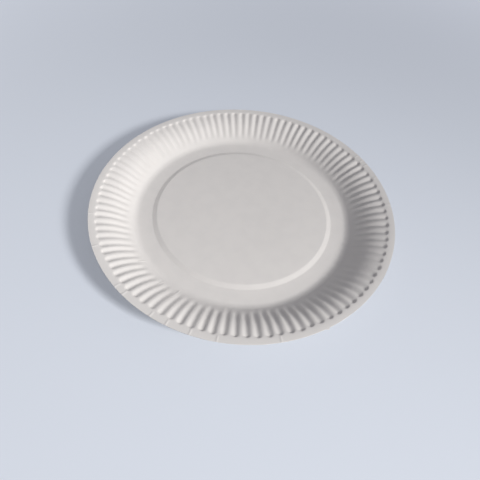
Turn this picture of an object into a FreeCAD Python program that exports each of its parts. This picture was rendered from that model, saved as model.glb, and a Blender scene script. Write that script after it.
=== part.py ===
import FreeCAD, Part
import math
import os

from FreeCAD import Vector

# A pressed paper plate: one sheet of paperboard formed in a die. It has a raised disc in its floor,
# a bend that turns the floor up into a wall of radial flutes, and a flat lip round the rim.
# Millimetres and degrees. The origin is the centre of the underside, where the plate rests, and
# +Z is up. Sizes of the form are those of the upper face, and the sheet lies below it.

# Overall size
plate_radius = 115.0
plate_height = 16.0
sheet_thickness = 0.45

# Widths across the plate, from the cut edge inwards
lip_width = 5.0
wall_width = 29.5
rest_ring_width = 10.2
disc_ramp_width = 3.6

# Raised disc in the middle of the floor
disc_rise = 1.4

# Bend at the foot of the wall
foot_bend_radius = 10.0
foot_bend_angle = 38.0

# Flutes: grooves are pressed down from the ridges, and shares are of one flute's pitch
flute_count = 100
groove_depth = 1.0
groove_floor_share = 0.2
ridge_top_share = 0.24
shoulder_share = 0.14
shoulder_depth = 0.3

# Where the grooves start on the wall and stop at the lip
groove_fade_share = 0.3
groove_end_length = 0.8
wall_facet_rows = 2

# Derived values
FULL_TURN = 2.0 * math.pi
STRAIGHT = 1e-6
AXIS_POINT = Vector(0.0, 0.0, 0.0)
AXIS = Vector(0.0, 0.0, 1.0)
flute_pitch = FULL_TURN / flute_count
mouth_radius = plate_radius - lip_width
wall_top_radius = mouth_radius - groove_end_length
floor_radius = mouth_radius - wall_width
disc_radius = floor_radius - rest_ring_width - disc_ramp_width
ramp_slope = math.atan2(disc_rise, disc_ramp_width)
groove_end_slope = math.atan2(groove_depth, groove_end_length)
foot_angle = math.radians(foot_bend_angle)
bend_centre_height = sheet_thickness + foot_bend_radius
wall_foot_radius = floor_radius + foot_bend_radius * math.sin(foot_angle)
wall_foot_height = bend_centre_height - foot_bend_radius * math.cos(foot_angle)


def point_at(radius, angle, height, sideways=0.0):
    """Point at a radius, an angle round the axis and a height, moved sideways along the rim."""
    x = radius * math.cos(angle) - sideways * math.sin(angle)
    y = radius * math.sin(angle) + sideways * math.cos(angle)
    return Vector(x, y, height)


def turned(shape, index):
    """Copy of a shape, moved on by a number of flutes."""
    copy = shape.copy()
    copy.rotate(AXIS_POINT, AXIS, math.degrees(index * flute_pitch))
    return copy


def wall_profile():
    """Radius and height of each corner of the wall, on an arc that leaves the bend tangentially."""
    run = wall_top_radius - wall_foot_radius
    rise = plate_height - wall_foot_height
    chord = math.hypot(run, rise)
    half_turn = foot_angle - math.atan2(rise, run)
    steps = [0.0]
    for row in range(wall_facet_rows + 1):
        steps.append(groove_fade_share + (1.0 - groove_fade_share) * row / wall_facet_rows)
    corners = []
    for step in steps:
        reach = chord * step
        if abs(half_turn) > STRAIGHT:
            reach = chord * math.sin(step * half_turn) / math.sin(half_turn)
        heading = foot_angle - step * half_turn
        corners.append((
            wall_foot_radius + reach * math.cos(heading),
            wall_foot_height + reach * math.sin(heading),
        ))
    return corners


def wall_tilts(corners):
    """Angle from straight down of the line through the sheet at each corner above the wall's foot.

    The second value is how much longer that line is than the sheet is thick, where the wall turns.
    """
    headings = []
    for (r_in, z_in), (r_out, z_out) in zip(corners, corners[1:]):
        headings.append(math.atan2(z_out - z_in, r_out - r_in))
    headings.append(0.0)
    tilts = []
    for before, after in zip(headings, headings[1:]):
        tilts.append(((before + after) / 2.0, 1.0 / math.cos((before - after) / 2.0)))
    return tilts


def flute_section(radius):
    """Corners across one flute, from groove floor to next groove floor, as (along rim, depth)."""
    pitch = flute_pitch * radius
    groove_edge = pitch * groove_floor_share / 2.0
    ridge_edge = pitch * (1.0 - ridge_top_share) / 2.0
    shoulder_edge = ridge_edge - pitch * shoulder_share
    return [
        (-groove_edge, groove_depth),
        (groove_edge, groove_depth),
        (shoulder_edge, shoulder_depth),
        (ridge_edge, 0.0),
        (pitch - ridge_edge, 0.0),
        (pitch - shoulder_edge, shoulder_depth),
        (pitch - groove_edge, groove_depth),
    ]


def offset_section(section, thickness):
    """The flute section moved through the sheet, which keeps its thickness on every facet."""
    slopes = []
    for (x_a, depth_a), (x_b, depth_b) in zip(section, section[1:]):
        slopes.append(math.atan2(depth_b - depth_a, x_b - x_a))
    slopes = [slopes[-1]] + slopes + [slopes[0]]
    moved = []
    for (x, depth), before, after in zip(section, slopes, slopes[1:]):
        middle = (before + after) / 2.0
        length = thickness / math.cos((before - after) / 2.0)
        moved.append((x - length * math.sin(middle), depth + length * math.cos(middle)))
    return moved


def flute_ring(corner, tilt, stretch, below):
    """Corners of one flute where it crosses a corner of the wall's profile."""
    radius, height = corner
    section = flute_section(radius)
    ring = []
    for (x, _), (x_moved, depth) in zip(section, offset_section(section, below)):
        drop = depth * stretch
        ring.append(point_at(
            radius + drop * math.sin(tilt),
            x / radius,
            height - drop * math.cos(tilt),
            x_moved - x,
        ))
    return ring


def mouth_corners(below):
    """Both corners of a groove's mouth at the lip, and the first corner of the next mouth."""
    radius = mouth_radius + below * math.tan(groove_end_slope / 2.0)
    section = flute_section(mouth_radius)
    moved = offset_section(section, below)
    corners = []
    for place in (0, 1, -1):
        x = section[place][0]
        sideways = moved[place][0] - x
        corners.append(point_at(radius, x / mouth_radius, plate_height - below, sideways))
    return corners


def bend_edge(angle, below):
    """Arc of the bend at the foot of the wall, in the upright plane at one angle."""
    radius = foot_bend_radius + below
    points = []
    for swept in (0.0, foot_angle / 2.0, foot_angle):
        out = floor_radius + radius * math.sin(swept)
        points.append(point_at(out, angle, bend_centre_height - radius * math.cos(swept)))
    return Part.Arc(*points).toShape()


def flat_face(*points):
    """Flat face with straight edges through the points."""
    return Part.Face(Part.makePolygon(list(points) + [points[0]]))


def fan(apex, points):
    """Three-cornered faces from one apex to each neighbouring pair of points."""
    return [flat_face(apex, a, b) for a, b in zip(points, points[1:])]


def facet_band(inner, outer):
    """Four-cornered faces between two rings of corners of one flute."""
    faces = []
    for a, b, c, d in zip(inner, inner[1:], outer, outer[1:]):
        faces.append(Part.makeRuledSurface(Part.makeLine(a, b), Part.makeLine(c, d)))
    return faces


def ridge_halves(ring):
    """The corners of one flute up to its ridge's near edge, and those from its far edge on."""
    middle = len(ring) // 2 + 1
    return ring[:middle], ring[middle:]


def groove_starts(foot, next_foot, ring):
    """Faces where grooves widen and deepen from points at the foot of the wall, and the ridge."""
    rising, falling = ridge_halves(ring)
    ridge = flat_face(foot, rising[-1], falling[0], next_foot)
    return fan(foot, rising) + [ridge] + fan(next_foot, falling)


def groove_ends(ring, mouth):
    """Steep faces that close the grooves at the lip."""
    left, right, next_left = mouth
    rising, falling = ridge_halves(ring)
    end = flat_face(rising[0], rising[1], right, left)
    return [end] + fan(right, rising[1:]) + fan(next_left, falling)


def flute_faces(below):
    """Faces of one flute and its share of the bend, and the corners of its edge at the lip."""
    bend_edges = [bend_edge(0.0, below), bend_edge(flute_pitch, below)]
    foot, next_foot = [edge.Vertexes[-1].Point for edge in bend_edges]
    corners = wall_profile()
    rings = []
    for corner, (tilt, stretch) in zip(corners[1:], wall_tilts(corners)):
        rings.append(flute_ring(corner, tilt, stretch, below))
    mouth = mouth_corners(below)
    faces = [Part.makeRuledSurface(*bend_edges)] + groove_starts(foot, next_foot, rings[0])
    for inner, outer in zip(rings, rings[1:]):
        faces += facet_band(inner, outer)
    faces += groove_ends(rings[-1], mouth)
    rising, falling = ridge_halves(rings[-1])
    lip_corners = [mouth[0], mouth[1], rising[-1], falling[0]]
    return faces, lip_corners


def circle_wire(radius, height):
    """Circle round the axis."""
    return Part.Wire([Part.makeCircle(radius, Vector(0.0, 0.0, height), AXIS)])


def repeated_wire(points):
    """Closed wire of straight edges through the points of one flute, repeated round the axis."""
    corners = []
    for index in range(flute_count):
        for point in points:
            corners.append(turned(Part.Vertex(point), index).Point)
    return Part.makePolygon(corners + [corners[0]])


def flat_ring(outer, inner):
    """Flat face between an outer wire and an inner one."""
    return Part.makeFace([outer, inner], "Part::FaceMakerBullseye")


def revolved_face(start, end):
    """Face swept by the line between two (radius, height) points in one turn round the axis."""
    line = Part.makeLine(Vector(start[0], 0.0, start[1]), Vector(end[0], 0.0, end[1]))
    return line.revolve(AXIS_POINT, AXIS, math.degrees(FULL_TURN))


def floor_faces(below):
    """Raised disc, its ramp and the ring that the plate rests on."""
    floor_height = sheet_thickness - below
    disc_height = floor_height + disc_rise
    disc_edge = disc_radius - below * math.tan(ramp_slope / 2.0)
    ramp_foot = disc_edge + disc_ramp_width
    outline = repeated_wire([point_at(floor_radius, 0.0, floor_height)])
    return [
        Part.Face(circle_wire(disc_edge, disc_height)),
        revolved_face((ramp_foot, floor_height), (disc_edge, disc_height)),
        flat_ring(outline, circle_wire(ramp_foot, floor_height)),
    ]


def side_faces(below):
    """All faces of one side of the sheet, at a depth below the upper face."""
    faces, lip_corners = flute_faces(below)
    side = floor_faces(below)
    for index in range(flute_count):
        side += [turned(face, index) for face in faces]
    lip_edge = circle_wire(plate_radius, plate_height - below)
    side.append(flat_ring(lip_edge, repeated_wire(lip_corners)))
    return side


def paper_plate():
    """The whole plate as one closed solid."""
    lip_underside = plate_height - sheet_thickness
    cut_edge = revolved_face((plate_radius, plate_height), (plate_radius, lip_underside))
    skin = Part.makeCompound(side_faces(0.0) + side_faces(sheet_thickness) + [cut_edge])
    skin.sewShape()
    solid = Part.makeSolid(skin.Shells[0])
    if solid.Volume < 0.0:
        solid.reverse()
    return solid


os.makedirs("parts", exist_ok=True)
paper_plate().exportStep("parts/plate.step")
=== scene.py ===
import math

import bpy
from mathutils import Matrix, Vector


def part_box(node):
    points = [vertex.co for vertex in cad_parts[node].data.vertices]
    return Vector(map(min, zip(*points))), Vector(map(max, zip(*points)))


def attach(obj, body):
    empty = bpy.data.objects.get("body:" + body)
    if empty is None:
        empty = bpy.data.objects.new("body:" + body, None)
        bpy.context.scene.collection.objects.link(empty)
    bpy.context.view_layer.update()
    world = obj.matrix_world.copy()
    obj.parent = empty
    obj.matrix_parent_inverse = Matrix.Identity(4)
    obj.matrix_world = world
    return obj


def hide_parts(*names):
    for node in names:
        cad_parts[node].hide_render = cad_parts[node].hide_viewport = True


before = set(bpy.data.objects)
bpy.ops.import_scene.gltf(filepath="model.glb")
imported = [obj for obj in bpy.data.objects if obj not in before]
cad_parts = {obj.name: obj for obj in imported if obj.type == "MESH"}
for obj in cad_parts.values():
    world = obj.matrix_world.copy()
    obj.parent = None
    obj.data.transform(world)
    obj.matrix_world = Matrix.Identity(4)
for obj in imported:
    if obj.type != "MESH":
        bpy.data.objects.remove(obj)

# A pressed paper plate on a pale studio floor. The sheet is one piece: its profile is a path of
# straight lines and arcs, and a geometry node tree turns that path round the axis, presses the
# flutes into the wall and gives each of them its own small errors. Metres and radians.

bl_info = {
    "name": "Paper Plate",
    "version": (1, 0, 0),
    "blender": (4, 5, 0),
    "location": "View3D > Sidebar > Paper Plate",
    "description": "Builds a fluted paper plate and a plain studio round it",
    "category": "Object",
}

MM = 0.001
FULL_TURN = 2.0 * math.pi
FULL_TURN_DEGREES = 360.0
QUARTER_TURN = FULL_TURN / 4.0

# The solid plate, which the pressed sheet stands for
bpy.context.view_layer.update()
PLATE_NODE = "plate"
PLATE_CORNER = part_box(PLATE_NODE)[1]
PLATE_RADIUS = PLATE_CORNER.x
PLATE_HEIGHT = PLATE_CORNER.z

# Rows of faces along the profile, from the axis outwards
DISC_ROWS = 2
CORNER_ROWS = 3
RAMP_ROWS = 1
RING_ROWS = 2
BEND_ROWS = 6
WALL_ROWS = 5
CROWN_ROWS = 7
END_ROWS = 8
LIP_ROWS = 3

# How far the closely spaced rows of the profile reach inside and outside a groove's mouth
END_ROOM = 2.4 * MM
MOUTH_ROOM = 0.7 * MM

# The flat grid that becomes the sheet reaches this far from its middle, both ways
GRID_REACH = 0.5

# Points nearer than this are one point, as at the axis and the seam
MERGE_DISTANCE = 0.001 * MM

# The board's thickness lies below the drawn face
BELOW_FACE = -1.0

# Corners that turn by more than this stay sharp, as at the cut edge
SHARP_ANGLE = math.radians(60.0)

# Middle of the even noise that errors are drawn from
NOISE_MIDDLE = 0.5

# Seeds of the flutes' errors
PLACE_SEED = 11.0
START_SEED = 211.0
END_SEED = 421.0
DEPTH_SEED = 631.0

# The rim's warp: waves round the rim, two dips, and how steeply both grow towards the cut edge
RIM_WAVE_SCALE = 1.6
DIP_COUNT = 2.0
SAG_POWER = 2.0

# Noise that makes the cut edge wander
EDGE_SCALE = 14.0
EDGE_DETAIL = 4.0

# A crease raises the column of the sheet's points that lies within this many columns of it
CREASE_ATTRIBUTE = "crease"
NEAREST_COLUMN = 0.499

# The burr is on the cut edge alone, which is told to within this share of the lip
ON_EDGE = 0.001

# Directions round the rim, in degrees, of the creases that cross the lip
CREASE_DIRECTIONS = (
    5.6, 20.6, 28.6, 31.4, 34.9, 195.3, 210.5, 229.0, 232.7, 244.4, 250.1, 258.0, 266.3, 286.0)

# Directions of the pinches at the foot of the wall, and how far they reach
PINCH_DIRECTIONS = (221.2, 235.8, 244.4)
PINCH_REACH = 4.0 * MM

# Patterns of the board: their detail, and the range of noise that the mottling takes
MOTTLE_DETAIL = 4.0
MOTTLE_START = 0.35
MOTTLE_END = 0.7
FIBRE_DETAIL = 3.0

# Gloss of the board and of the floor
BOARD_SPECULAR = 0.3
FLOOR_ROUGHNESS = 0.9

# The floor lies a hair below the plate, so that no two faces lie in one plane
FLOOR_GAP = 0.02 * MM

# Corners of the floor, in halves of its side
FLOOR_CORNERS = ((-1.0, -1.0), (1.0, -1.0), (1.0, 1.0), (-1.0, 1.0))
NO_LIGHT = (0.0, 0.0, 0.0)

# Sockets of a Mix node for colours
MIX_SHARE = 0
MIX_FIRST = 6
MIX_SECOND = 7
MIX_RESULT = 2


class Term:
    """An output of a node, which can stand in a Python expression."""

    def __init__(self, tree, socket):
        self.tree = tree
        self.socket = socket

    def other(self, name):
        """Another output of the same node."""
        return Term(self.tree, self.socket.node.outputs[name])

    def maths(self, operation, *others):
        """Math node with this value as its first input."""
        return add_node(self.tree, "ShaderNodeMath", {"operation": operation}, (self, *others))

    def __add__(self, other):
        return self.maths("ADD", other)

    def __radd__(self, other):
        return self.maths("ADD", other)

    def __sub__(self, other):
        return self.maths("SUBTRACT", other)

    def __rsub__(self, other):
        return add_node(self.tree, "ShaderNodeMath", {"operation": "SUBTRACT"}, (other, self))

    def __mul__(self, other):
        return self.maths("MULTIPLY", other)

    def __rmul__(self, other):
        return self.maths("MULTIPLY", other)

    def __truediv__(self, other):
        return self.maths("DIVIDE", other)

    def __pow__(self, other):
        return self.maths("POWER", other)


def fill_inputs(tree, node, inputs):
    """Gives inputs of a node, by name or number, their values or their links."""
    pairs = inputs.items() if isinstance(inputs, dict) else enumerate(inputs or ())
    for key, value in pairs:
        if isinstance(value, Term):
            tree.links.new(value.socket, node.inputs[key])
        else:
            node.inputs[key].default_value = value


def add_node(tree, kind, settings=None, inputs=None, output=0):
    """Adds a node with its settings first and then its inputs, and gives one of its outputs."""
    node = tree.nodes.new(kind)
    for name, value in (settings or {}).items():
        setattr(node, name, value)
    fill_inputs(tree, node, inputs)
    return Term(tree, node.outputs[output])


def smooth_step(value, start, end):
    """0 below the start, 1 above the end, and smooth between them."""
    settings = {"interpolation_type": "SMOOTHSTEP"}
    inputs = {"Value": value, "From Min": start, "From Max": end}
    return add_node(value.tree, "ShaderNodeMapRange", settings, inputs)


def soft_noise(place, scale, detail=2.0):
    """Noise between 0 and 1 at a place."""
    inputs = {"Vector": place, "Scale": scale, "Detail": detail}
    return add_node(place.tree, "ShaderNodeTexNoise", None, inputs)


def error_of(number, seed, spread):
    """An error up to half the spread either way, which belongs to a whole number and a seed."""
    settings = {"noise_dimensions": "1D"}
    value = add_node(number.tree, "ShaderNodeTexWhiteNoise", settings, {"W": number + seed})
    return (value - NOISE_MIDDLE) * spread


def raised_wave(angle):
    """1 where the angle is 0, and smoothly down to 0 half a turn from there."""
    return (1.0 + angle.maths("COSINE")) * 0.5


def between(value, low, high):
    """1 where the value is from low to high, and 0 elsewhere."""
    return value.maths("COMPARE", (low + high) / 2.0, (high - low) / 2.0)


def opaque(color):
    """A colour of three numbers with its alpha."""
    return (*color, 1.0)


def mixed_color(tree, share, color, other):
    """Colour between two colours, each of which is a term or three numbers."""
    first, second = [item if isinstance(item, Term) else opaque(item) for item in (color, other)]
    inputs = {MIX_SHARE: share, MIX_FIRST: first, MIX_SECOND: second}
    return add_node(tree, "ShaderNodeMix", {"data_type": "RGBA"}, inputs, MIX_RESULT)


def length_setting(name, description, default):
    """Property for a length in metres."""
    return bpy.props.FloatProperty(
        name=name, description=description, default=default, min=0.0, unit="LENGTH", precision=5)


def share_setting(name, description, default):
    """Property for a share between 0 and 1."""
    return bpy.props.FloatProperty(
        name=name, description=description, default=default, min=0.0, max=1.0, subtype="FACTOR")


def angle_setting(name, description, default):
    """Property for an angle, given in degrees."""
    return bpy.props.FloatProperty(
        name=name, description=description, default=math.radians(default), subtype="ANGLE")


def number_setting(name, description, default, unit="NONE"):
    """Property for a plain number, or one with a unit of its own."""
    return bpy.props.FloatProperty(name=name, description=description, default=default, unit=unit)


def color_setting(name, description, default):
    """Property for a colour."""
    return bpy.props.FloatVectorProperty(
        name=name, description=description, default=default, size=3, min=0.0, max=1.0,
        subtype="COLOR")


class PlateForm(bpy.types.PropertyGroup):
    """Sizes of the pressed sheet"""

    sheet_thickness: length_setting("Sheet", "Thickness of the paperboard", 0.45 * MM)
    lip_width: length_setting("Lip width", "Plain lip outside the grooves", 4.15 * MM)
    wall_width: length_setting("Wall width", "Plan width from lip to floor", 30.35 * MM)
    rest_ring_width: length_setting("Rest ring", "Flat ring that the plate rests on", 9.6 * MM)
    ramp_width: length_setting("Ramp width", "Plan width of the raised disc's ramp", 3.6 * MM)
    disc_rise: length_setting("Disc rise", "Height of the raised disc", 1.1 * MM)
    ramp_rounding: length_setting("Ramp rounding", "Radius at the ramp's corners", 3.2 * MM)
    disc_shift: length_setting("Disc shift", "How far the disc lies beside the axis", 0.65 * MM)
    disc_direction: angle_setting("Disc direction", "Direction of that shift", 135.0)
    bend_radius: length_setting("Bend radius", "Bend at the foot of the wall", 10.0 * MM)
    bend_angle: angle_setting("Bend angle", "Slope of the wall at its foot", 36.0)
    lip_slope: angle_setting("Lip slope", "Slope of the lip at the cut edge", 4.2)
    rim_lift: length_setting("Rim lift", "How far the rim stands above its even height", 0.26 * MM)
    dip_depth: length_setting("Rim dip", "How far the rim dips on two sides", 1.1 * MM)
    dip_direction: angle_setting("Dip direction", "Direction of one of the two dips", 125.0)


class FluteForm(bpy.types.PropertyGroup):
    """Sizes and errors of the flutes"""

    count: bpy.props.IntProperty(name="Flutes", description="Flutes in the rim", default=100, min=3)
    columns: bpy.props.IntProperty(
        name="Columns", description="Columns of faces across one flute", default=12, min=4)
    phase: share_setting("Phase", "Place of the first groove, in pitches", 7.0 / 12.0)
    drift: share_setting("Drift", "How far the grooves drift round the rim, in pitches", 0.11)
    drift_direction: angle_setting("Drift direction", "Direction of the most drift", 55.0)
    depth: length_setting("Depth", "Depth of the grooves below the ridges", 1.05 * MM)
    sharpness: number_setting("Sharpness", "Above 1 the grooves are narrower than ridges", 1.1)
    fade_start: length_setting(
        "Fade start", "Distance of the grooves' start from the cut edge", 26.9 * MM)
    fade_length: length_setting("Fade length", "Length of a groove's rounded start", 2.5 * MM)
    start_share: share_setting("Start depth", "Depth of a groove's start, as a share", 0.35)
    end_length: length_setting("End length", "Length of the steep end of a groove", 2.0 * MM)
    end_rounding: length_setting("End rounding", "How far a groove's end is rounded", 0.8 * MM)
    depth_swing: share_setting(
        "Depth swing", "How much deeper the grooves are where they drift most, as a share", 0.12)
    depth_error: share_setting("Depth error", "Spread of the depths", 0.26)
    place_error: share_setting("Place error", "Spread of the places, in pitches", 0.08)
    start_error: length_setting("Start error", "Spread of the grooves' starts", 2.0 * MM)
    end_error: length_setting("End error", "Spread of the grooves' ends", 0.8 * MM)
    rim_sag: length_setting("Rim sag", "How far the rim waves below its full height", 0.2 * MM)
    edge_error: length_setting("Edge error", "How far the cut edge wanders inwards", 0.25 * MM)
    crease_height: length_setting("Crease height", "Height of the creases", 0.27 * MM)
    burr_length: length_setting(
        "Burr length", "How far the burr stands out of the cut edge", 1.2 * MM)
    burr_direction: angle_setting("Burr direction", "Direction of the burr's foot", 300.3)
    burr_columns: number_setting("Burr columns", "Columns of faces that the burr takes", 5.0)


class BoardFinish(bpy.types.PropertyGroup):
    """Finish of the paperboard"""

    color: color_setting("Board", "Colour of the board", (0.822, 0.785, 0.745))
    shade_color: color_setting("Mottle", "Colour of its darker mottling", (0.787, 0.752, 0.715))
    shade_share: share_setting("Mottle share", "How strong the mottling is", 0.6)
    mottle_scale: number_setting("Mottle scale", "Fineness of the mottling, per metre", 90.0)
    # Paler board at a crease, with a painted highlight for the light that the raised creases catch
    crease_highlight_color: color_setting("Crease", "Colour of the board at a crease", (0.95, 0.94, 0.93))
    roughness: share_setting("Roughness", "Least roughness of the board", 0.72)
    roughness_spread: share_setting("Roughness spread", "How much rougher it is in places", 0.12)
    roughness_scale: number_setting("Roughness scale", "Fineness of that, per metre", 400.0)
    fibre_height: length_setting("Fibre height", "Relief of the paper fibres", 0.012 * MM)
    fibre_scale: number_setting("Fibre scale", "Fineness of the fibres, per metre", 1400.0)


class StudioLook(bpy.types.PropertyGroup):
    """Floor, light and camera"""

    floor_color: color_setting("Floor", "Colour of the floor", (0.56, 0.59, 0.64))
    floor_glow: color_setting("Floor glow", "Colour that only the camera sees", (0.19, 0.20, 0.22))
    far_glow: color_setting("Far glow", "The same, away from the plate", (0.46, 0.48, 0.53))
    glow_start: length_setting("Glow start", "Distance at which the glow changes", 0.2)
    glow_end: length_setting("Glow end", "Distance past which it is the far glow", 0.9)
    floor_size: length_setting("Floor size", "Side of the floor", 6.0)
    sky_color: color_setting("Sky", "Colour of the light all round", (0.88, 0.90, 1.0))
    back_color: color_setting("Background", "Colour seen behind the floor", (0.60, 0.63, 0.69))
    sky_strength: number_setting("Sky strength", "Strength of the light all round", 0.275)
    key_power: number_setting("Key power", "Power of the main lamp", 3.56, "POWER")
    key_size: length_setting("Key size", "Side of the main lamp", 0.45)
    key_distance: length_setting("Key distance", "Distance of the main lamp", 2.6)
    key_spread: angle_setting("Key spread", "Spread of the main lamp's beam", 37.6)
    key_offset: length_setting("Key offset", "How far beside the plate it is aimed", 0.30)
    key_offset_direction: angle_setting("Offset direction", "Direction of that aim", 238.0)
    key_azimuth: angle_setting("Key azimuth", "Direction of the main lamp round the plate", 331.0)
    key_elevation: angle_setting("Key elevation", "Height of the main lamp", 30.0)
    camera_distance: length_setting("Camera distance", "Distance in front of the axis", 196.4 * MM)
    camera_height: length_setting("Camera height", "Height above the floor", 228.5 * MM)
    camera_tilt: angle_setting("Camera tilt", "Angle that it looks down", 53.54)
    camera_roll: angle_setting("Camera roll", "Turn about its own axis", 6.297)
    camera_lens: number_setting("Camera lens", "Focal length in millimetres", 28.125, "CAMERA")


class ProfilePath:
    """A path in the plate's section, drawn outwards as straight runs and arcs."""

    def __init__(self, height):
        self.points = [Vector((0.0, 0.0, height))]
        self.heading = 0.0

    def step(self, length):
        """One point further on, in the present direction."""
        move = Vector((math.cos(self.heading), 0.0, math.sin(self.heading)))
        self.points.append(self.points[-1] + move * length)

    def run(self, length, rows):
        """A straight run."""
        for _ in range(rows):
            self.step(length / rows)

    def turn(self, radius, angle, rows):
        """An arc, upwards if the angle is positive."""
        part = angle / rows
        for _ in range(rows):
            self.heading += part / 2.0
            self.step(2.0 * radius * math.sin(abs(part) / 2.0))
            self.heading += part / 2.0


def floor_radius_of(form):
    """Radius at which the floor turns up into the wall."""
    return PLATE_RADIUS - form.lip_width - form.wall_width


def draw_floor(path, form):
    """Draws the raised disc, its rounded ramp, the rest ring and the bend at the wall's foot."""
    disc_radius = floor_radius_of(form) - form.rest_ring_width - form.ramp_width
    ramp_slope = math.atan2(form.disc_rise, form.ramp_width)
    ramp_tangent = form.ramp_rounding * math.tan(ramp_slope / 2.0)
    ramp_length = math.hypot(form.ramp_width, form.disc_rise)
    path.run(disc_radius - ramp_tangent, DISC_ROWS)
    path.turn(form.ramp_rounding, -ramp_slope, CORNER_ROWS)
    path.run(ramp_length - 2.0 * ramp_tangent, RAMP_ROWS)
    path.turn(form.ramp_rounding, ramp_slope, CORNER_ROWS)
    path.run(form.rest_ring_width - ramp_tangent, RING_ROWS)
    path.turn(form.bend_radius, form.bend_angle, BEND_ROWS)


def draw_wall(path, form):
    """Draws the wall, which starts straight and rolls over, in one arc, to the slope of the lip.

    The straight is as long as the plate's height needs. Rows lie closest where the grooves end.
    """
    foot = path.points[-1]
    run = PLATE_RADIUS - foot.x
    rise = PLATE_HEIGHT - foot.z
    crown_rise = math.tan((form.bend_angle + form.lip_slope) / 2.0)
    steep_run = (rise - run * crown_rise) / (math.tan(form.bend_angle) - crown_rise)
    lip_sine = math.sin(form.lip_slope)
    crown_radius = (run - steep_run) / (math.sin(form.bend_angle) - lip_sine)
    path.run(steep_run / math.cos(form.bend_angle), WALL_ROWS)
    crown_parts = (
        (form.lip_width + END_ROOM, CROWN_ROWS),
        (form.lip_width - MOUTH_ROOM, END_ROWS),
        (0.0, LIP_ROWS),
    )
    for width_left, rows in crown_parts:
        slope = math.asin(lip_sine + width_left / crown_radius)
        path.turn(crown_radius, slope - path.heading, rows)


def plate_profile(form):
    """Points of the upper face from the axis to the cut edge."""
    path = ProfilePath(form.sheet_thickness + form.disc_rise)
    draw_floor(path, form)
    draw_wall(path, form)
    return path.points


def add_object(name, data):
    """A new object in the scene."""
    item = bpy.data.objects.new(name, data)
    bpy.context.scene.collection.objects.link(item)
    return item


def curve_object(name, points):
    """Curve with straight spans through the points."""
    curve = bpy.data.curves.new(name, "CURVE")
    curve.dimensions = "3D"
    spline = curve.splines.new("POLY")
    spline.points.add(len(points) - 1)
    for spot, point in zip(spline.points, points):
        spot.co = (*point, 1.0)
    return add_object(name, curve)


class TreeInputs:
    """Named inputs of a geometry node tree, with the values that a modifier gives them."""

    def __init__(self, tree):
        self.tree = tree
        self.entry = tree.nodes.new("NodeGroupInput")
        self.values = {}

    def add(self, kind, values):
        """Inputs of one kind, with their names and values."""
        for name, value in values.items():
            item = self.tree.interface.new_socket(name, in_out="INPUT", socket_type=kind)
            self.values[item.identifier] = value

    def __getitem__(self, name):
        """The input of that name, as a term."""
        return Term(self.tree, self.entry.outputs[name])


def add_plate_inputs(inputs, form, flutes, profile, material):
    """Gives the tree every size and error of the sheet."""
    inputs.add("NodeSocketObject", {"Profile": profile})
    inputs.add("NodeSocketMaterial", {"Material": material})
    inputs.add("NodeSocketInt", {
        "Flutes": flutes.count,
        "Columns": flutes.count * flutes.columns,
    })
    inputs.add("NodeSocketFloat", {
        "Plate radius": PLATE_RADIUS,
        "Mouth radius": PLATE_RADIUS - form.lip_width,
        "Fade start": PLATE_RADIUS - flutes.fade_start,
        "Floor radius": floor_radius_of(form),
        "Ring width": form.rest_ring_width,
        "Disc shift": form.disc_shift,
        "Disc direction": form.disc_direction,
        "Rim lift": form.rim_lift,
        "Rim dip": form.dip_depth,
        "Dip direction": form.dip_direction,
        "Phase": flutes.phase,
        "Drift": flutes.drift,
        "Drift direction": flutes.drift_direction,
        "Groove depth": flutes.depth,
        "Sharpness": flutes.sharpness,
        "Fade length": flutes.fade_length,
        "Start depth": flutes.start_share,
        "End length": flutes.end_length,
        "End rounding": flutes.end_rounding,
        "Depth swing": flutes.depth_swing,
        "Depth error": flutes.depth_error,
        "Place error": flutes.place_error,
        "Start error": flutes.start_error,
        "End error": flutes.end_error,
        "Rim sag": flutes.rim_sag,
        "Edge error": flutes.edge_error,
        "Crease height": flutes.crease_height,
        "Burr length": flutes.burr_length,
        "Burr direction": flutes.burr_direction,
        "Burr columns": flutes.burr_columns,
    })


def groove_depth(inputs, turn, radius):
    """Depth of the press below the ridges, from the share of a turn and the radius."""
    swing = (turn * FULL_TURN - inputs["Drift direction"]).maths("COSINE")
    position = turn * inputs["Flutes"] - inputs["Phase"] - swing * inputs["Drift"]
    nearest = position.maths("ROUND")
    index = nearest.maths("MODULO", inputs["Flutes"])
    across = position - nearest + error_of(index, PLACE_SEED, inputs["Place error"])
    wave = raised_wave(across * FULL_TURN) ** inputs["Sharpness"]
    start = inputs["Fade start"] + error_of(index, START_SEED, inputs["Start error"])
    fade = smooth_step(radius, start, start + inputs["Fade length"])
    along_wall = (radius - inputs["Fade start"]) / (inputs["Mouth radius"] - inputs["Fade start"])
    fade = fade * (inputs["Start depth"] + along_wall * (1.0 - inputs["Start depth"]))
    end = inputs["Mouth radius"] + error_of(index, END_SEED, inputs["End error"])
    end = end - (1.0 - wave) * inputs["End rounding"]
    open_part = 1.0 - smooth_step(radius, end - inputs["End length"], end)
    depth = inputs["Groove depth"] * (1.0 + swing * inputs["Depth swing"])
    depth = depth * (1.0 + error_of(index, DEPTH_SEED, inputs["Depth error"]))
    return depth * wave * fade * open_part


def lines_share(inputs, turn, directions):
    """1 in the columns nearest to the directions, and 0 elsewhere."""
    column = turn * inputs["Columns"]
    marked = 0.0
    for direction in directions:
        place = inputs["Columns"] * (direction / FULL_TURN_DEGREES)
        marked = column.maths("COMPARE", place, NEAREST_COLUMN) + marked
    return marked


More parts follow.
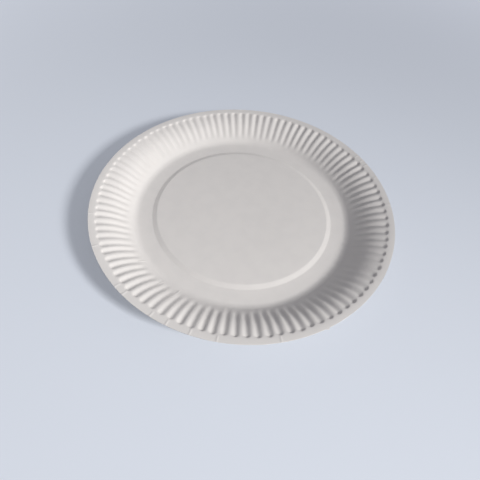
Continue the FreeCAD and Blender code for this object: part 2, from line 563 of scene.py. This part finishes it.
def crease_share(inputs, turn, radius):
    """1 along the creases that cross the lip and the pinches at the foot of the wall, or else 0."""
    mouth = inputs["Mouth radius"]
    lip = smooth_step(radius, mouth - MOUTH_ROOM, mouth + MOUTH_ROOM)
    start = inputs["Fade start"]
    foot = smooth_step(radius, start - PINCH_REACH, start - PINCH_REACH / 2.0)
    foot = foot * (1.0 - smooth_step(radius, start + PINCH_REACH / 2.0, start + PINCH_REACH))
    creases = lines_share(inputs, turn, CREASE_DIRECTIONS) * lip
    return creases + lines_share(inputs, turn, PINCH_DIRECTIONS) * foot


def burr_share(inputs, turn, edge):
    """Rises from 0 to 1 along the burr on the cut edge, and is 0 elsewhere."""
    foot = inputs["Columns"] * (inputs["Burr direction"] / FULL_TURN)
    along = (turn * inputs["Columns"] - foot) / inputs["Burr columns"]
    return along * between(along, 0.0, 1.0) * edge.maths("COMPARE", 1.0, ON_EDGE)


def rim_sag(inputs, ring, angle, radius):
    """How far the rim lies below its even height: slow waves, two dips and a lift between them."""
    reach = (radius - inputs["Floor radius"]).maths("MAXIMUM", 0.0)
    outer = (reach / (inputs["Plate radius"] - inputs["Floor radius"])) ** SAG_POWER
    dip = raised_wave((angle - inputs["Dip direction"]) * DIP_COUNT)
    sag = soft_noise(ring, RIM_WAVE_SCALE) * inputs["Rim sag"] + dip * inputs["Rim dip"]
    return (sag - inputs["Rim lift"]) * outer


def disc_offset(inputs, radius):
    """How far a point moves along X and along Y with the raised disc."""
    floor = inputs["Floor radius"]
    disc = 1.0 - smooth_step(radius, floor - inputs["Ring width"], floor)
    shift = disc * inputs["Disc shift"]
    return [shift * inputs["Disc direction"].maths(part) for part in ("COSINE", "SINE")]


def profile_at(tree, path, row):
    """Place and direction of the profile at a row, each with its X, Y and Z apart."""
    settings = {"data_type": "FLOAT_VECTOR", "domain": "POINT"}
    parts = []
    for kind in ("GeometryNodeInputPosition", "GeometryNodeInputTangent"):
        inputs = {"Geometry": path, "Value": add_node(tree, kind), "Index": row}
        sample = add_node(tree, "GeometryNodeSampleIndex", settings, inputs)
        parts.append(add_node(tree, "ShaderNodeSeparateXYZ", None, {0: sample}))
    return parts


def pressed_spot(inputs, turn, place, along, crease):
    """Where a point of the profile lies after its turn round the axis and the press."""
    radius = place.other("X")
    angle = turn * FULL_TURN
    cosine = angle.maths("COSINE")
    sine = angle.maths("SINE")
    ring = add_node(turn.tree, "ShaderNodeCombineXYZ", None, (cosine, sine, 0.0))
    depth = groove_depth(inputs, turn, radius)
    edge = smooth_step(radius, inputs["Mouth radius"], inputs["Plate radius"])
    wander = soft_noise(ring, EDGE_SCALE, EDGE_DETAIL) * inputs["Edge error"] * edge
    burr = burr_share(inputs, turn, edge) * inputs["Burr length"]
    reach = radius + along.other("Z") * depth - wander + burr
    height = place.other("Z") - along.other("X") * depth - rim_sag(inputs, ring, angle, radius)
    height = height + crease * inputs["Crease height"]
    shift_x, shift_y = disc_offset(inputs, radius)
    spot = (reach * cosine + shift_x, reach * sine + shift_y, height)
    return add_node(turn.tree, "ShaderNodeCombineXYZ", None, spot)


def plate_tree(form, flutes, profile, material):
    """Geometry node tree that turns the profile round the axis and presses the flutes."""
    tree = bpy.data.node_groups.new("pressed_plate", "GeometryNodeTree")
    inputs = TreeInputs(tree)
    tree.interface.new_socket("Geometry", in_out="OUTPUT", socket_type="NodeSocketGeometry")
    add_plate_inputs(inputs, form, flutes, profile, material)
    path = add_node(
        tree, "GeometryNodeObjectInfo", None, {"Object": inputs["Profile"]}, "Geometry")
    size = add_node(tree, "GeometryNodeAttributeDomainSize", {"component": "CURVE"}, {0: path})
    rows = size.other("Point Count")
    grid = add_node(tree, "GeometryNodeMeshGrid", None, {
        "Size X": 2.0 * GRID_REACH,
        "Size Y": 2.0 * GRID_REACH,
        "Vertices X": rows,
        "Vertices Y": inputs["Columns"] + 1.0,
    })
    spot = add_node(tree, "GeometryNodeInputPosition")
    spot = add_node(tree, "ShaderNodeSeparateXYZ", None, {0: spot})
    row = ((spot.other("X") + GRID_REACH) * (rows - 1.0)).maths("ROUND")
    turn = spot.other("Y") + GRID_REACH
    place, along = profile_at(tree, path, row)
    crease = crease_share(inputs, turn, place.other("X"))
    pressed = pressed_spot(inputs, turn, place, along, crease)
    sheet = add_node(tree, "GeometryNodeSetPosition", None, {"Geometry": grid, "Position": pressed})
    sheet = add_node(tree, "GeometryNodeStoreNamedAttribute", {"data_type": "FLOAT"}, {
        "Geometry": sheet, "Name": CREASE_ATTRIBUTE, "Value": crease})
    sheet = add_node(tree, "GeometryNodeMergeByDistance", None, {
        "Geometry": sheet, "Distance": MERGE_DISTANCE})
    sheet = add_node(tree, "GeometryNodeSetShadeSmooth", None, {"Geometry": sheet})
    sheet = add_node(tree, "GeometryNodeRealizeInstances", None, {"Geometry": sheet})
    sheet = add_node(tree, "GeometryNodeSetMaterial", None, {
        "Geometry": sheet, "Material": inputs["Material"]})
    fill_inputs(tree, tree.nodes.new("NodeGroupOutput"), {"Geometry": sheet})
    return tree, inputs.values


def plain_mesh(item, name):
    """The item's evaluated mesh as a new object, with the item itself removed."""
    depsgraph = bpy.context.evaluated_depsgraph_get()
    mesh = bpy.data.meshes.new_from_object(item.evaluated_get(depsgraph), depsgraph=depsgraph)
    mesh.name = name
    bpy.data.objects.remove(item)
    return add_object(name, mesh)


def new_material(name):
    """A new material and its node tree."""
    material = bpy.data.materials.new(name)
    material.use_nodes = True
    return material, material.node_tree


def board_material(finish):
    """Uncoated white paperboard: faint mottling, fibres and paler creases, whose colour also
    carries a painted highlight.
    """
    material, tree = new_material("white_paperboard")
    spot = add_node(tree, "ShaderNodeTexCoord", output="Object")
    mottle = soft_noise(spot, finish.mottle_scale, MOTTLE_DETAIL)
    mottle = smooth_step(mottle, MOTTLE_START, MOTTLE_END) * finish.shade_share
    color = mixed_color(tree, mottle, finish.color, finish.shade_color)
    settings = {"attribute_name": CREASE_ATTRIBUTE}
    crease = add_node(tree, "ShaderNodeAttribute", settings, output="Fac")
    # Creases and pinches take the paler colour, which is partly whitened board and partly a painted
    # highlight
    color = mixed_color(tree, crease, color, finish.crease_highlight_color)
    rough = soft_noise(spot, finish.roughness_scale) * finish.roughness_spread
    relief = soft_noise(spot, finish.fibre_scale, FIBRE_DETAIL) * finish.fibre_height
    bump = add_node(tree, "ShaderNodeBump", None, {"Distance": 1.0, "Height": relief})
    fill_inputs(tree, tree.nodes["Principled BSDF"], {
        "Base Color": color,
        "Roughness": finish.roughness + rough,
        "Normal": bump,
        "Specular IOR Level": BOARD_SPECULAR,
    })
    return material


class PLATE_OT_sheet(bpy.types.Operator):
    """Build the pressed sheet of the plate"""

    bl_idname = "object.paper_plate_sheet"
    bl_label = "Build Plate"

    def execute(self, context):
        form = context.scene.plate_form
        material = board_material(context.scene.plate_finish)
        profile = curve_object("plate_profile", plate_profile(form))
        tree, values = plate_tree(form, context.scene.plate_flutes, profile, material)
        base = add_object("plate_base", bpy.data.meshes.new("plate_base"))
        press = base.modifiers.new("press", "NODES")
        press.node_group = tree
        for identifier, value in values.items():
            press[identifier] = value
        sheet = base.modifiers.new("sheet", "SOLIDIFY")
        sheet.thickness = form.sheet_thickness
        sheet.offset = BELOW_FACE
        sheet.use_even_offset = True
        piece = plain_mesh(base, "pressed_sheet")
        bpy.data.objects.remove(profile)
        piece.data.set_sharp_from_angle(angle=SHARP_ANGLE)
        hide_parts(PLATE_NODE)
        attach(piece, "root")
        return {"FINISHED"}


def seen_share(tree):
    """1 for what the camera sees, also in glossy and clear things, and 0 for light that falls."""
    seen = add_node(tree, "ShaderNodeLightPath", output="Is Camera Ray")
    mirrored = seen.other("Is Glossy Ray").maths("MAXIMUM", seen.other("Is Transmission Ray"))
    return seen.maths("MAXIMUM", mirrored)


def floor_material(look):
    """Matte studio floor, whose glow only the camera sees."""
    material, tree = new_material("studio_floor")
    spot = add_node(tree, "ShaderNodeTexCoord", output="Object")
    away = add_node(tree, "ShaderNodeVectorMath", {"operation": "LENGTH"}, (spot,), "Value")
    far = smooth_step(away, look.glow_start, look.glow_end)
    glow = mixed_color(tree, far, look.floor_glow, look.far_glow)
    glow = mixed_color(tree, seen_share(tree), NO_LIGHT, glow)
    fill_inputs(tree, tree.nodes["Principled BSDF"], {
        "Base Color": opaque(look.floor_color),
        "Roughness": FLOOR_ROUGHNESS,
        "Emission Color": glow,
        "Emission Strength": 1.0,
    })
    return material


def place_floor(look):
    """Square floor under the plate."""
    half = look.floor_size / 2.0
    corners = [(x * half, y * half, -FLOOR_GAP) for x, y in FLOOR_CORNERS]
    mesh = bpy.data.meshes.new("studio_floor")
    mesh.from_pydata(corners, [], [range(len(corners))])
    mesh.materials.append(floor_material(look))
    add_object("studio_floor", mesh)


def direction_of(azimuth, elevation=0.0):
    """Direction of length 1 at an azimuth round the plate and an elevation above the floor."""
    flat = math.cos(elevation)
    return Vector((flat * math.cos(azimuth), flat * math.sin(azimuth), math.sin(elevation)))


def place_key_lamp(look):
    """Soft square lamp that is aimed beside the plate, so that its light falls off across it."""
    lamp = bpy.data.lights.new("key_lamp", "AREA")
    lamp.energy = look.key_power
    lamp.size = look.key_size
    lamp.spread = look.key_spread
    place = look.key_distance * direction_of(look.key_azimuth, look.key_elevation)
    aim = look.key_offset * direction_of(look.key_offset_direction)
    turn = (place - aim).to_track_quat("Z", "Y").to_matrix().to_4x4()
    add_object("key_lamp", lamp).matrix_world = Matrix.Translation(place) @ turn


def place_sky(look):
    """Even light all round, and a pale background."""
    world = bpy.data.worlds.new("studio_sky")
    world.use_nodes = True
    tree = world.node_tree
    light = [part * look.sky_strength for part in look.sky_color]
    color = mixed_color(tree, seen_share(tree), light, look.back_color)
    fill_inputs(tree, tree.nodes["Background"], {"Color": color, "Strength": 1.0})
    bpy.context.scene.world = world


def place_camera(look):
    """Camera in front of the plate, which looks down and is turned a little about its own axis."""
    camera = bpy.data.cameras.new("camera")
    camera.lens = look.camera_lens
    place = Matrix.Translation((0.0, -look.camera_distance, look.camera_height))
    tilt = Matrix.Rotation(QUARTER_TURN - look.camera_tilt, 4, "X")
    roll = Matrix.Rotation(look.camera_roll, 4, "Z")
    item = add_object("camera", camera)
    item.matrix_world = place @ tilt @ roll
    bpy.context.scene.camera = item


class PLATE_OT_studio(bpy.types.Operator):
    """Set up the floor, the light and the camera"""

    bl_idname = "object.paper_plate_studio"
    bl_label = "Set Up Studio"

    def execute(self, context):
        look = context.scene.plate_studio
        place_floor(look)
        place_key_lamp(look)
        place_sky(look)
        place_camera(look)
        context.scene.view_settings.view_transform = "Standard"
        return {"FINISHED"}


class PLATE_PT_panel(bpy.types.Panel):
    """Buttons and settings of the paper plate"""

    bl_idname = "PLATE_PT_panel"
    bl_label = "Paper Plate"
    bl_space_type = "VIEW_3D"
    bl_region_type = "UI"
    bl_category = "Paper Plate"

    def draw(self, context):
        layout = self.layout
        for operator in OPERATORS:
            layout.operator(operator.bl_idname)
        for place, group in SETTINGS.items():
            box = layout.box()
            box.label(text=group.__doc__)
            for name in group.__annotations__:
                box.prop(getattr(context.scene, place), name)


SETTINGS = {
    "plate_form": PlateForm,
    "plate_flutes": FluteForm,
    "plate_finish": BoardFinish,
    "plate_studio": StudioLook,
}
OPERATORS = (PLATE_OT_sheet, PLATE_OT_studio)


def register():
    """Registers the settings, the operators and the panel."""
    for place, group in SETTINGS.items():
        bpy.utils.register_class(group)
        setattr(bpy.types.Scene, place, bpy.props.PointerProperty(type=group))
    for operator in OPERATORS:
        bpy.utils.register_class(operator)
    bpy.utils.register_class(PLATE_PT_panel)


def unregister():
    """Removes what register added."""
    bpy.utils.unregister_class(PLATE_PT_panel)
    for operator in reversed(OPERATORS):
        bpy.utils.unregister_class(operator)
    for place, group in SETTINGS.items():
        delattr(bpy.types.Scene, place)
        bpy.utils.unregister_class(group)


def main():
    """Builds the plate and the studio."""
    register()
    bpy.ops.object.paper_plate_sheet()
    bpy.ops.object.paper_plate_studio()


if __name__ == "__main__":
    main()
